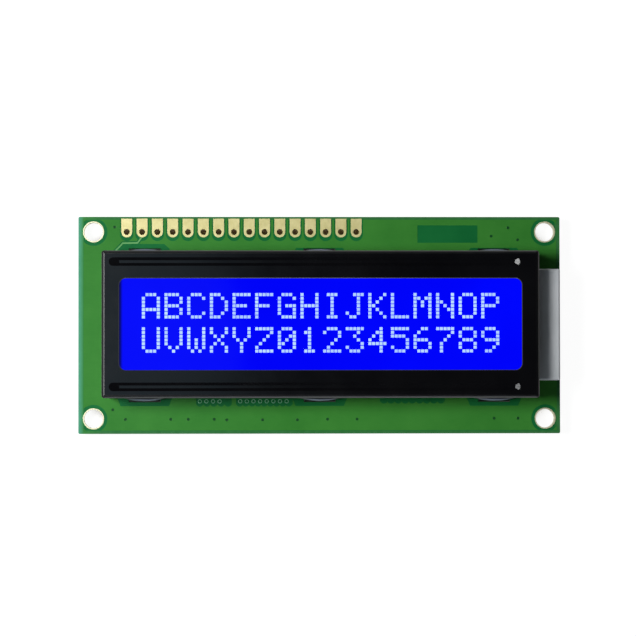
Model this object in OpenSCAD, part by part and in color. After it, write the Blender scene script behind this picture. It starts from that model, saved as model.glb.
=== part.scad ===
// Character LCD module: a two-line dot-matrix display on its circuit board.
// +Z faces the viewer, +X runs along the lines of characters, +Y is the header side.
// Z = 0 is the lowest point behind the board, and the board is centred on X = Y = 0.

/* [Circuit board] */
// Length of the board along X
board_l = 80; // [70:0.5:120]
// Width of the board along Y
board_w = 36; // [33:0.5:60]
// Thickness of the board
board_t = 1.6; // [0.8:0.1:2.4]
// Radius of the board's routed corners
board_corner_r = 0.25; // [0.1:0.05:1.5]
// Copper and gold thickness of pads and plated walls
plating = 0.05; // [0.03:0.01:0.1]

/* [Mounting holes] */
// Finished diameter of the four mounting holes
mount_d = 3.1; // [2.2:0.1:3.4]
// Distance from each board edge to the hole centres
mount_inset = 2.5; // [2.3:0.1:4]
// Width of the bare metal ring round each hole
mount_ring_w = 0.2; // [0.15:0.05:0.5]

/* [Header] */
// Number of connections in the header row
header_count = 16; // [8:1:20]
// Pitch of the header row
header_pitch = 2.54; // [2:0.01:3.3]
// Distance from the board's left edge to pin 1
header_start = 8; // [7:0.1:12]
// Distance from the board's upper edge to the hole line
header_inset = 2.5; // [2:0.1:3.2]
// Finished diameter of the header holes
header_hole_d = 1; // [0.7:0.05:1.2]
// Width of one header pad
header_pad_w = 1.8; // [1.5:0.05:1.9]
// Bare board left between the pads and the board edge
header_pad_edge = 0.3; // [0.1:0.05:1]

/* [Bezel] */
// Bare board left at each end of the bezel
bezel_end = 4.1; // [3.2:0.1:8]
// Outside width of the bezel
bezel_w = 24.2; // [22:0.1:27]
// Height of the bezel's face above the board
bezel_h = 7.2; // [6.4:0.1:12]
// Thickness of the sheet metal
sheet_t = 0.4; // [0.3:0.05:0.6]
// Inside radius of the pressed bends
bend_in_r = 0.1; // [0.05:0.05:0.6]
// Inside radius of the bezel's vertical corners
corner_in_r = 0.1; // [0.05:0.05:0.5]
// Size of the relief cut in each corner of the walls
corner_relief = 1; // [0.6:0.05:1.6]
// Width of the bezel's rim at each end of the window
window_end = 2.9; // [2.2:0.1:8]
// Width of the bezel's rim along each side of the window
window_side = 4.6; // [3.6:0.1:7]
// Corner radius of the viewing window
window_r = 1.1; // [0.4:0.1:3]
// Size of the rolled edge round the viewing window
window_roll = 0.12; // [0.05:0.01:0.2]

/* [Pressed grooves] */
// Distance from the bezel's long edge to the middle of each groove
groove_inset = 1.85; // [1.7:0.05:2.2]
// Distance from the bezel's left end to the grooves
groove_left = 1.2; // [0.8:0.05:6]
// Distance from the bezel's right end to the grooves
groove_right = 3.2; // [1.2:0.05:6]
// Width of a groove at the face
groove_w = 1.4; // [1:0.05:1.6]
// Width of the flat bottom of a groove
groove_floor_w = 0.45; // [0.3:0.05:0.8]
// Length of the ramp at the left end of a groove
groove_ramp_left = 1.7; // [0.6:0.1:3]
// Length of the ramp at the right end of a groove
groove_ramp_right = 0.8; // [0.6:0.1:3]
// Depth that the grooves are pressed in
groove_depth = 0.24; // [0.2:0.02:0.4]

/* [Bezel tabs] */
// Distance from the bezel's end to the middle of the outermost tab
tab_end = 6.9; // [5:0.1:12]
// Pairs of tabs on a long side, besides the middle one
tab_pairs = 1; // [1:1:3]
// Width of a fold-over tab
tab_w = 5; // [3:0.1:6]
// Length of the folded foot behind the board
tab_foot = 2.4; // [1.8:0.1:3]
// Width of the wall pressed outward over a tab
flare_w = 7; // [6:0.1:9]
// How far a tab is pressed outward
flare_out = 0.5; // [0.2:0.05:0.6]
// Height of the pressed part of a wall
flare_h = 1.8; // [1:0.1:3]
// Width of the pressed part of the left end wall
end_flare_w = 9; // [6:0.5:12]
// How far the left end wall is pressed outward
end_flare_out = 0.17; // [0.1:0.01:0.4]
// Clearance between a tab and its slot
slot_clear = 0.15; // [0.1:0.05:0.25]

/* [Liquid crystal cell] */
// Thickness of each glass plate
glass_t = 1.1; // [0.7:0.05:1.3]
// Clearance between the front glass and the bezel walls
glass_clear = 0.2; // [0.1:0.05:0.3]
// Width of the ledge left along each long edge of the rear glass
glass_ledge = 2.4; // [2.2:0.05:2.6]
// Thickness of the perimeter seal
seal_t = 0.05; // [0.03:0.01:0.1]
// Width of the perimeter seal
seal_w = 0.8; // [0.5:0.1:1.2]
// Distance from the rear glass edge to the seal
seal_inset = 0.4; // [0.2:0.05:0.8]
// Width of the filling port in the seal
port_w = 2; // [1:0.1:4]
// Thickness of each polariser
polariser_t = 0.2; // [0.1:0.02:0.3]
// Distance from a glass edge to the edge of its polariser
polariser_inset = 0.4; // [0.2:0.05:1]
// Clearance between the front polariser and the pressed grooves
polariser_clear = 0.3; // [0.1:0.05:0.6]

/* [Zebra strips] */
// Width of an elastomer strip
zebra_w = 1.9; // [1.4:0.05:1.95]
// Clearance between a strip and the backlight housing
zebra_clear = 0.2; // [0.1:0.05:0.35]
// Distance from the front glass end to a strip's end
zebra_end = 1; // [0.4:0.1:4]
// Number of contact fingers under each strip
contact_count = 48; // [12:1:60]
// Distance from a strip's end to the first contact finger
contact_end = 1.9; // [0.5:0.1:5]
// Width of one contact finger
contact_w = 0.7; // [0.4:0.05:0.8]

/* [Backlight] */
// Bare board left beyond the housing's right end
light_end = 0.35; // [0.1:0.05:0.8]
// How far the housing reaches past the rear glass on each side
light_lip = 0.1; // [0:0.05:0.2]
// Wall thickness of the housing
light_wall = 0.8; // [0.6:0.05:1]
// Floor thickness of the housing
light_floor = 0.6; // [0.4:0.05:0.9]
// Thickness of the housing's cover over the light sources
light_cover = 0.8; // [0.6:0.05:1]
// Radius of the housing's outer edges
light_edge_r = 0.35; // [0.2:0.05:0.6]
// Thickness of the diffuser and of the reflector
film_t = 0.2; // [0.1:0.02:0.25]
// Clearance of loose pieces inside the housing
fit_clear = 0.1; // [0.05:0.01:0.2]
// How far the housing's cover reaches under the cell
cover_lap = 0.2; // [0.15:0.05:1]
// Thickness of the board that carries the light sources
source_board_t = 0.8; // [0.6:0.05:1]
// Number of light sources
source_count = 4; // [2:1:5]
// Pitch of the light sources
source_pitch = 3.8; // [3:0.1:3.8]
// Length of one light source along its board
source_w = 2.8; // [2:0.1:2.9]
// Height of one light source
source_h = 1.2; // [0.8:0.1:1.4]
// Depth of one light source
source_d = 1; // [0.6:0.05:1.1]
// Clearance between the bezel's end cut-out and the housing
light_clear = 0.15; // [0.1:0.05:0.3]

/* [Backlight pins] */
// Distance between the two backlight pins
pin_spacing = 12; // [6:0.5:13]
// Side of a square pin
pin_w = 0.5; // [0.4:0.05:0.6]
// Diameter of a pin's hole in the board
pin_hole_d = 0.9; // [0.85:0.05:1.2]
// Diameter of the pad behind the board round a pin
pin_pad_d = 1.9; // [1.6:0.1:2.4]
// Height of a solder joint
solder_h = 0.8; // [0.5:0.05:1]
// Length that a pin stands past its solder
pin_out = 0.15; // [0.1:0.05:0.3]

/* [Chip covers] */
// Height of the moulded covers behind the board
blob_h = 1.5; // [1.2:0.1:2.5]
// Diameter of a cover at the board
blob_d = 14; // [11:0.5:15]
// Diameter of the levelled top of a cover
blob_flat_d = 8; // [6:0.5:9]
// Distance between the two covers
blob_spacing = 33; // [24:0.5:38]

/* [Chip components] */
// Number of chip resistors
resistor_count = 6; // [1:1:8]
// Number of chip capacitors
capacitor_count = 2; // [1:1:3]
// Pitch of the chip components
chip_pitch = 3.2; // [2.6:0.1:3.4]
// Length of a chip component
chip_l = 2; // [1.6:0.1:2.2]
// Width of a chip component
chip_w = 1.25; // [0.8:0.05:1.4]
// Height of a chip resistor
resistor_h = 0.5; // [0.35:0.05:0.6]
// Height of a chip capacitor
capacitor_h = 0.8; // [0.5:0.05:0.9]
// Length of a metal end cap
cap_l = 0.35; // [0.2:0.05:0.5]
// Clear board between the tab feet and the components
chip_gap = 0.5; // [0.3:0.05:0.8]

/* [Hidden] */
// Segments of a round edge
$fn = 48;
// Segments of the wide arc of a pressed wall
flare_fn = 240;
// Segments of the rolled window edge's corners
roll_fn = 32;
// Cutters reach this far past what they cut
over = 1;
// Levels of the stack, from the back to the viewer
z_back = blob_h;
z_board = z_back + board_t;
z_face = z_board + bezel_h;
z_sheet = z_face - sheet_t;
z_glass = z_sheet - groove_depth;
z_cell = z_glass - glass_t;
z_rear = z_cell - seal_t;
z_rear_back = z_rear - glass_t;
z_light = z_rear_back - polariser_t;
z_frame = z_light - film_t;
z_contact = z_board + plating;
z_floor = z_board + light_floor;
z_guide = z_floor + film_t;

// Inside of the bezel, and the outside of its bends
bend_r = bend_in_r + sheet_t;
bezel_corner_r = corner_in_r + sheet_t;
bezel_l = board_l - 2 * bezel_end;
room_l = bezel_l - 2 * sheet_t;
room_w = bezel_w - 2 * sheet_t;
window_l = bezel_l - 2 * window_end;
window_w = bezel_w - 2 * window_side;

// Glass plates
glass_l = room_l - 2 * glass_clear;
glass_w = room_w - 2 * glass_clear;
rear_w = glass_w - 2 * glass_ledge;

// Header and mounting holes
hole_x = board_l / 2 - mount_inset;
hole_y = board_w / 2 - mount_inset;
header_x = header_start - board_l / 2;
header_y = board_w / 2 - header_inset;
header_drill_d = header_hole_d + 2 * plating;
mount_drill_d = mount_d + 2 * plating;

// Grooves
groove_y = bezel_w / 2 - groove_inset;
groove_l = bezel_l - groove_left - groove_right;
groove_x = (groove_left - groove_right) / 2;
groove_run = (groove_w - groove_floor_w) / 2;
groove_angle = atan(groove_depth / groove_run);
groove_grow = sheet_t * tan(groove_angle / 2);
front_polariser_w = 2 * (groove_y - groove_w / 2 - groove_grow - polariser_clear);

// Tabs: outer face of the pressed foot, and the slot that it passes
tab_y = bezel_w / 2 + flare_out;
slot_in = tab_y - sheet_t - slot_clear;
slot_out = tab_y + slot_clear;
slot_l = tab_w + 2 * slot_clear;
tab_pitch = (bezel_l / 2 - tab_end) / tab_pairs;

// Backlight housing, from the left end of the glass to near the board's right edge
light_w = rear_w + 2 * light_lip;
light_right = board_l / 2 - light_end;
light_left = -glass_l / 2;
cover_x = glass_l / 2 - cover_lap;
pocket_left = light_left + light_wall;
pocket_right = light_right - light_wall;
pocket_w = light_w - 2 * light_wall;
guide_left = pocket_left + fit_clear;
guide_right = cover_x - fit_clear;
guide_w = pocket_w - 2 * fit_clear;
source_board_x = pocket_right - fit_clear - source_board_t;
source_x = source_board_x - source_d;
z_source_top = z_frame - light_cover - fit_clear;
source_z = (z_source_top + z_guide) / 2;
pin_x = source_board_x - pin_w / 2;
pin_top = source_z - source_h / 2 - fit_clear;

// Zebra strips sit between the backlight housing and the bezel wall
zebra_y = light_w / 2 + zebra_clear + zebra_w / 2;
zebra_l = glass_l - 2 * zebra_end;
contact_l = zebra_w - 2 * fit_clear;
contact_first = contact_end + contact_w / 2 - zebra_l / 2;
contact_pitch = -2 * contact_first / (contact_count - 1);

// Chip components lie in one row behind the board
chip_count = resistor_count + capacitor_count;
chip_first = -(chip_count - 1) * chip_pitch / 2;
chip_pad_l = cap_l + 4 * plating;
chip_pad_x = chip_l / 2 - cap_l / 2 + plating;
chip_row = tab_y - tab_foot - chip_gap - chip_pad_x - chip_pad_l / 2;
z_chip = z_back - plating;

function chip_x(i) = chip_first + i * chip_pitch;

// A flat rectangle with round corners
module rounded_plate(l, w, r) {
  square([l - 2 * r, w], center = true);
  square([l, w - 2 * r], center = true);
  for (sx = [-1, 1], sy = [-1, 1])
    translate([sx * (l / 2 - r), sy * (w / 2 - r)])
      circle(r = r);
}

// Section of a pressed channel: straight sides with a round bend at each top corner
module channel_section(w, h, r) {
  translate([-w / 2, 0])
    square([w, h - r]);
  translate([r - w / 2, 0])
    square([w - 2 * r, h]);
  for (s = [-1, 1])
    translate([s * (w / 2 - r), h - r])
      circle(r = r);
}

// A pressed box with rounded top edges, standing on Z = 0
module pressed_block(l, w, h, r, corner_r) {
  intersection() {
    rotate([90, 0, 90])
      translate([0, 0, -l / 2 - over])
        linear_extrude(l + 2 * over)
          channel_section(w, h, r);
    rotate([90, 0, 0])
      translate([0, 0, -w / 2 - over])
        linear_extrude(w + 2 * over)
          channel_section(l, h, r);
    linear_extrude(h + over)
      rounded_plate(l, w, corner_r);
  }
}

// A strip with half-round ends
module strip_outline(l, w) {
  square([l - w, w], center = true);
  for (s = [-1, 1])
    translate([s * (l - w) / 2, 0])
      circle(d = w);
}

// Solid form of a groove: sloped flanks and ramped round ends, widest at Z = 0
module groove_form(l, w, floor_w, depth) {
  flank = (w - floor_w) / 2;
  intersection() {
    rotate([90, 0, 90])
      translate([0, 0, -l / 2])
        linear_extrude(l)
          polygon([
            [-w / 2 - flank, depth], [w / 2 + flank, depth],
            [floor_w / 2, -depth], [-floor_w / 2, -depth]
          ]);
    rotate([90, 0, 0])
      translate([0, 0, -w])
        linear_extrude(2 * w)
          polygon([
            [-l / 2 - groove_ramp_left, depth], [l / 2 + groove_ramp_right, depth],
            [l / 2 - groove_ramp_right, -depth], [groove_ramp_left - l / 2, -depth]
          ]);
    translate([0, 0, -depth])
      linear_extrude(2 * depth)
        strip_outline(l, w);
  }
}

// Radius of the wide arc that a pressed part of a wall follows
function flare_r(w, out) = (w * w / 4 + out * out) / (2 * out);

// Keeps of its children what stands out of the wall at Y = 0, towards -Y
module flare_place(w, out, h) {
  intersection() {
    translate([0, flare_r(w, out) - out, 0])
      children();
    translate([-w / 2, -out - over, 0])
      cube([w, out + over + sheet_t, h]);
  }
}

// Outside of a pressed part of a wall, with a round shoulder
module flare_outside(w, out, h) {
  r = flare_r(w, out);
  flare_place(w, out, h)
    rotate_extrude($fn = flare_fn)
      union() {
        square([r, h - out]);
        square([r - out, h]);
        translate([r - out, h - out])
          intersection() {
            circle(r = out);
            square(out);
          }
      }
}

// Room behind a pressed part of a wall, one sheet thickness inside it
module flare_inside(w, out, h) {
  flare_place(w, out, h)
    cylinder(h = h - sheet_t, r = flare_r(w, out) - sheet_t, $fn = flare_fn);
}

// Runs its children once for each tab, with the wall's outer face at local Y = 0
module at_tabs() {
  for (side = [0, 1], i = [-tab_pairs:tab_pairs])
    rotate([0, 0, 180 * side])
      translate([i * tab_pitch, -bezel_w / 2, 0])
        children();
}

// Folded tab: a leg through the slot and a foot that lies behind the board
module tab_hook() {
  bend = sheet_t;
  translate([-tab_w / 2, -flare_out, z_back - sheet_t])
    rotate([90, 0, 90])
      linear_extrude(tab_w)
        difference() {
          union() {
            square([sheet_t, board_t + sheet_t]);
            square([tab_foot, sheet_t]);
          }
          difference() {
            square([bend, bend]);
            translate([bend, bend])
              circle(r = bend);
          }
        }
}

module at_mount_holes() {
  for (sx = [-1, 1], sy = [-1, 1])
    translate([sx * hole_x, sy * hole_y, 0])
      children();
}

module at_header() {
  for (i = [0:header_count - 1])
    translate([header_x + i * header_pitch, header_y, 0])
      children();
}

module at_pins() {
  for (s = [-1, 1])
    translate([pin_x, s * pin_spacing / 2, 0])
      children();
}

// ---- Sub-parts ----

module pcb() {
  color("darkgreen")
    difference() {
      translate([0, 0, z_back])
        linear_extrude(board_t)
          rounded_plate(board_l, board_w, board_corner_r);
      at_mount_holes()
        translate([0, 0, z_back - over])
          cylinder(h = board_t + 2 * over, d = mount_drill_d);
      at_header()
        translate([0, 0, z_back - over])
          cylinder(h = board_t + 2 * over, d = header_drill_d);
      at_pins()
        translate([0, 0, z_back - over])
          cylinder(h = board_t + 2 * over, d = pin_hole_d);
      at_tabs()
        translate([-slot_l / 2, bezel_w / 2 - slot_out, z_back - over])
          cube([slot_l, slot_out - slot_in, board_t + 2 * over]);
    }
}

// Outline of one header pad, with its round end on the hole line
module header_pad_outline() {
  circle(d = header_pad_w);
  translate([-header_pad_w / 2, 0])
    square([header_pad_w, header_inset - header_pad_edge]);
}

module interface_pads() {
  color("gold")
    at_header()
      difference() {
        union() {
          translate([0, 0, z_board])
            linear_extrude(plating)
              header_pad_outline();
          translate([0, 0, z_back - plating])
            linear_extrude(plating)
              header_pad_outline();
          translate([0, 0, z_back])
            cylinder(h = board_t, d = header_drill_d);
        }
        translate([0, 0, z_back - over])
          cylinder(h = board_t + 2 * over, d = header_hole_d);
      }
}

module mounting_hole_rings() {
  color("khaki")
    at_mount_holes()
      difference() {
        union() {
          translate([0, 0, z_board])
            cylinder(h = plating, d = mount_d + 2 * mount_ring_w);
          translate([0, 0, z_back - plating])
            cylinder(h = plating, d = mount_d + 2 * mount_ring_w);
          translate([0, 0, z_back])
            cylinder(h = board_t, d = mount_drill_d);
        }
        translate([0, 0, z_back - over])
          cylinder(h = board_t + 2 * over, d = mount_d);
      }
}

module zebra_contact_pads() {
  color("gold")
    for (s = [-1, 1], i = [0:contact_count - 1])
      translate([
        contact_first + i * contact_pitch - contact_w / 2,
        s * zebra_y - contact_l / 2,
        z_board
      ])
        cube([contact_w, contact_l, plating]);
}

module bezel() {
  color([0.12, 0.12, 0.14])
    difference() {
      union() {
        // Pressed sheet, hollowed from below
        difference() {
          union() {
            translate([0, 0, z_board])
              pressed_block(bezel_l, bezel_w, bezel_h, bend_r, bezel_corner_r);
            translate([0, 0, z_board])
              at_tabs()
                flare_outside(flare_w, flare_out, flare_h);
            translate([-bezel_l / 2, 0, z_board])
              rotate([0, 0, -90])
                flare_outside(end_flare_w, end_flare_out, flare_h);
          }
          translate([0, 0, z_board - over])
            pressed_block(
              room_l, room_w, bezel_h - sheet_t + over, bend_in_r, corner_in_r
            );
          translate([0, 0, z_board])
            at_tabs()
              flare_inside(flare_w, flare_out, flare_h);
          translate([-bezel_l / 2, 0, z_board])
            rotate([0, 0, -90])
              flare_inside(end_flare_w, end_flare_out, flare_h);
        }
        // Metal pushed down under each groove
        for (s = [-1, 1])
          translate([groove_x, s * groove_y, z_sheet])
            groove_form(
              groove_l + 2 * groove_grow, groove_w + 2 * groove_grow,
              groove_floor_w + 2 * groove_grow, groove_depth
            );
        at_tabs()
          tab_hook();
      }
      // Grooves seen from the front
      for (s = [-1, 1])
        translate([groove_x, s * groove_y, z_face])
          groove_form(groove_l, groove_w, groove_floor_w, groove_depth);
      // Viewing window, and the edge rolled over where it was punched
      translate([0, 0, z_sheet - over])
        linear_extrude(sheet_t + 2 * over)
          rounded_plate(window_l, window_w, window_r);
      hull() {
        translate([0, 0, z_face - window_roll])
          linear_extrude(window_roll / 2)
            rounded_plate(window_l, window_w, window_r, $fn = roll_fn);
        translate([0, 0, z_face])
          linear_extrude(over)
            rounded_plate(
              window_l + 2 * window_roll, window_w + 2 * window_roll,
              window_r + window_roll, $fn = roll_fn
            );
      }
      // Cut-out of the right end wall over the backlight housing
      translate([room_l / 2 - over, -light_w / 2 - light_clear, z_board - over])
        cube([
          sheet_t + 2 * over,
          light_w + 2 * light_clear,
          z_frame - z_board + light_clear + over
        ]);
      // Relief at each vertical corner, below the bends
      for (sx = [-1, 1], sy = [-1, 1])
        translate([sx * bezel_l / 2, sy * bezel_w / 2, z_board - over])
          linear_extrude(bezel_h - bend_r - sheet_t + over)
            square(2 * corner_relief, center = true);
    }
}

module front_polariser() {
  color([0.1, 0.2, 0.9])
    translate([polariser_inset - glass_l / 2, -front_polariser_w / 2, z_glass])
      cube([glass_l - 2 * polariser_inset, front_polariser_w, polariser_t]);
}

module front_glass() {
  color("lightblue")
    translate([-glass_l / 2, -glass_w / 2, z_cell])
      cube([glass_l, glass_w, glass_t]);
}

module seal_path(grow) {
  square([
    glass_l - 2 * seal_inset + 2 * grow,
    rear_w - 2 * seal_inset + 2 * grow
  ], center = true);
}

module cell_seal() {
  color("gray")
    translate([0, 0, z_rear])
      linear_extrude(seal_t)
        difference() {
          seal_path(0);
          seal_path(-seal_w);
          translate([-glass_l / 2, -port_w / 2])
            square([seal_inset + seal_w + over, port_w]);
        }
}

module fill_port_plug() {
  color("wheat")
    translate([-glass_l / 2 + seal_inset, -port_w / 2, z_rear])
      cube([seal_w, port_w, seal_t]);
}

module rear_glass() {
  color("lightblue")
    translate([-glass_l / 2, -rear_w / 2, z_rear_back])
      cube([glass_l, rear_w, glass_t]);
}

module rear_polariser() {
  color("slateblue")
    translate([
      polariser_inset - glass_l / 2, polariser_inset - rear_w / 2, z_light
    ])
      cube([glass_l - 2 * polariser_inset, rear_w - 2 * polariser_inset, polariser_t]);
}

module zebra_strip(side) {
  translate([-zebra_l / 2, side * zebra_y - zebra_w / 2, z_contact])
    cube([zebra_l, zebra_w, z_cell - z_contact]);
}

module zebra_strip_upper() {
  color("pink")
    zebra_strip(1);
}

module zebra_strip_lower() {
  color("pink")
    zebra_strip(-1);
}

module backlight_frame() {
  color("white")
    difference() {
      translate([(light_left + light_right) / 2, 0, z_board])
        pressed_block(
          light_right - light_left, light_w, z_frame - z_board, light_edge_r, light_edge_r
        );
      // Tray for the light guide, open to the cell
      translate([pocket_left, -pocket_w / 2, z_floor])
        cube([cover_x - pocket_left, pocket_w, z_frame - z_floor + over]);
      // Compartment for the light sources, open to the tray and to the board
      translate([cover_x - over, -pocket_w / 2, z_floor])
        cube([pocket_right - cover_x + over, pocket_w, z_frame - light_cover - z_floor]);
      translate([cover_x, -pocket_w / 2, z_board - over])
        cube([
          pocket_right - cover_x, pocket_w, z_frame - light_cover - z_board + over
        ]);
    }
}

module light_guide() {
  color("azure") {
    translate([guide_left, -guide_w / 2, z_guide])
      cube([guide_right - guide_left, guide_w, z_frame - z_guide]);
    // Tongue that runs under the cover to the light sources
    translate([guide_left, -guide_w / 2, z_guide])
      cube([source_x - fit_clear - guide_left, guide_w, z_source_top - z_guide]);
  }
}

module diffuser_film() {
  color("whitesmoke")
    translate([light_left + fit_clear, -light_w / 2 + fit_clear, z_frame])
      cube([
        glass_l / 2 - light_left - 2 * fit_clear,
        light_w - 2 * fit_clear,
        film_t
      ]);
}

module reflector_film() {
  color("silver")
    translate([guide_left, -guide_w / 2, z_floor])
      cube([guide_right - guide_left, guide_w, film_t]);
}

module led_board() {
  color("ivory")
    translate([source_board_x, -guide_w / 2, z_board])
      cube([source_board_t, guide_w, z_source_top - z_board]);
}

module backlight_leds() {
  color("yellow")
    for (i = [0:source_count - 1])
      translate([
        source_x,
        (i - (source_count - 1) / 2) * source_pitch - source_w / 2,
        source_z - source_h / 2
      ])
        cube([source_d, source_w, source_h]);
}

module backlight_pins() {
  color("silver")
    at_pins()
      translate([-pin_w / 2, -pin_w / 2, z_back - plating - solder_h - pin_out])
        cube([
          pin_w, pin_w, pin_top - z_back + plating + solder_h + pin_out
        ]);
}

module backlight_pads() {
  color("gold")
    at_pins()
      difference() {
        translate([0, 0, z_back - plating])
          cylinder(h = plating, d = pin_pad_d);
        translate([0, 0, z_back - over])
          cylinder(h = 2 * over, d = pin_hole_d);
      }
}

module solder_joints() {
  color("lightgray")
    at_pins()
      difference() {
        translate([0, 0, z_back - plating - solder_h])
          cylinder(h = solder_h, d1 = pin_w + 4 * plating, d2 = pin_pad_d - 2 * plating);
        translate([-pin_w / 2, -pin_w / 2, z_back - plating - solder_h - over])
          cube([pin_w, pin_w, solder_h + 2 * over]);
      }
}

// Moulded cover: a low dome, levelled where it meets the surface that it lies on
module chip_cover() {
  edge_r = blob_d / 2;
  flat_r = blob_flat_d / 2;
  fall = edge_r - flat_r;
  dome_r = (fall * fall + blob_h * blob_h) / (2 * blob_h);
  rotate_extrude()
    union() {
      square([flat_r, blob_h]);
      intersection() {
        translate([flat_r, dome_r])
          circle(r = dome_r);
        translate([flat_r, 0])
          square([fall, blob_h]);
      }
    }
}

module controller_cover() {
  color("black")
    translate([-blob_spacing / 2, 0, 0])
      chip_cover();
}

module driver_cover() {
  color("black")
    translate([blob_spacing / 2, 0, 0])
      chip_cover();
}

// One chip component's place behind the board
module at_chips(first, last) {
  for (i = [first:last])
    translate([chip_x(i), chip_row, z_chip])
      children();
}

module chip_pads() {
  color("gold")
    at_chips(0, chip_count - 1)
      for (s = [-1, 1])
        translate([-chip_w / 2 - plating, s * chip_pad_x - chip_pad_l / 2, 0])
          cube([chip_w + 2 * plating, chip_pad_l, plating]);
}

module chip_body(h) {
  translate([-chip_w / 2, cap_l - chip_l / 2, -h])
    cube([chip_w, chip_l - 2 * cap_l, h]);
}

module resistor_bodies() {
  color("dimgray")
    at_chips(0, resistor_count - 1)
      chip_body(resistor_h);
}

module capacitor_bodies() {
  color("tan")
    at_chips(resistor_count, chip_count - 1)
      chip_body(capacitor_h);
}

module end_cap_pair(h) {
  for (s = [-1, 1])
    translate([-chip_w / 2, s * (chip_l - cap_l) / 2 - cap_l / 2, -h])
      cube([chip_w, cap_l, h]);
}

module chip_end_caps() {
  color("lightgray") {
    at_chips(0, resistor_count - 1)
      end_cap_pair(resistor_h);
    at_chips(resistor_count, chip_count - 1)
      end_cap_pair(capacitor_h);
  }
}

pcb();
interface_pads();
mounting_hole_rings();
zebra_contact_pads();
bezel();
front_polariser();
front_glass();
cell_seal();
fill_port_plug();
rear_glass();
rear_polariser();
zebra_strip_upper();
zebra_strip_lower();
backlight_frame();
light_guide();
diffuser_film();
reflector_film();
led_board();
backlight_leds();
backlight_pins();
backlight_pads();
solder_joints();
controller_cover();
driver_cover();
chip_pads();
resistor_bodies();
capacitor_bodies();
chip_end_caps();
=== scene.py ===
import math

import bpy
from mathutils import Matrix, Vector
from mathutils.geometry import delaunay_2d_cdt


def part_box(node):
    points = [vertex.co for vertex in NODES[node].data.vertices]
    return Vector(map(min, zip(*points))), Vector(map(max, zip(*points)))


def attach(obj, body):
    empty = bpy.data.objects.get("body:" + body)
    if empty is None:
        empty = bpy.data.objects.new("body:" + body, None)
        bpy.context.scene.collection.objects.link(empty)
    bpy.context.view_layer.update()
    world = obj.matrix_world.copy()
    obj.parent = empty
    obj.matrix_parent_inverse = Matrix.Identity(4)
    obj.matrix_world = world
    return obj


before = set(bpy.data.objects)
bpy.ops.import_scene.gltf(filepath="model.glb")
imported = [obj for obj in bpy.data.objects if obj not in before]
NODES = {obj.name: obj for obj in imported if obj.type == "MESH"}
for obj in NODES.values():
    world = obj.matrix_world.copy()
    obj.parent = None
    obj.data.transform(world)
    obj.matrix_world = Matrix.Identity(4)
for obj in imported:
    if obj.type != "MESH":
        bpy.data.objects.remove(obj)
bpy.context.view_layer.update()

# Looks of a two-line character display module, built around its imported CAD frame.
# Blender works in metres. Outlines, named sizes and names that end in _mm are in millimetres.
MM = 0.001


def span(node):
    """Lowest and highest corner of a CAD node, in millimetres."""
    low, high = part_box(node)
    return [v / MM for v in low], [v / MM for v in high]


BOARD_LOW, BOARD_HIGH = span("pcb")
BEZEL_HIGH = span("bezel")[1]
COVER_1 = span("controller_cover")
COVER_2 = span("driver_cover")
PADS_LOW = span("interface_pads")[0]
RINGS_HIGH = span("mounting_hole_rings")[1]
PIN_PADS_LOW, PIN_PADS_HIGH = span("backlight_pads")
CHIPS_LOW, CHIPS_HIGH = span("chip_pads")
FILM_HIGH = span("front_polariser")[1]

TOP = BOARD_HIGH[2]
BACK = BOARD_LOW[2]
HALF_L = BOARD_HIGH[0]
HALF_W = BOARD_HIGH[1]
TAB_FLARE = 0.5
BEZEL_HALF_L = BEZEL_HIGH[0]
BEZEL_HALF_W = BEZEL_HIGH[1] - TAB_FLARE
WINDOW_HALF_L = 33.0
ZEBRA_Y = 10.35

# ---------------------------------------------------------------- materials


def tone(r, g, b):
    """A colour given as it looks on screen, 0 to 255, turned into linear light."""
    def linear(v):
        v /= 255
        return v / 12.92 if v <= 0.04045 else ((v + 0.055) / 1.055) ** 2.4
    return (linear(r), linear(g), linear(b), 1.0)


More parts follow.
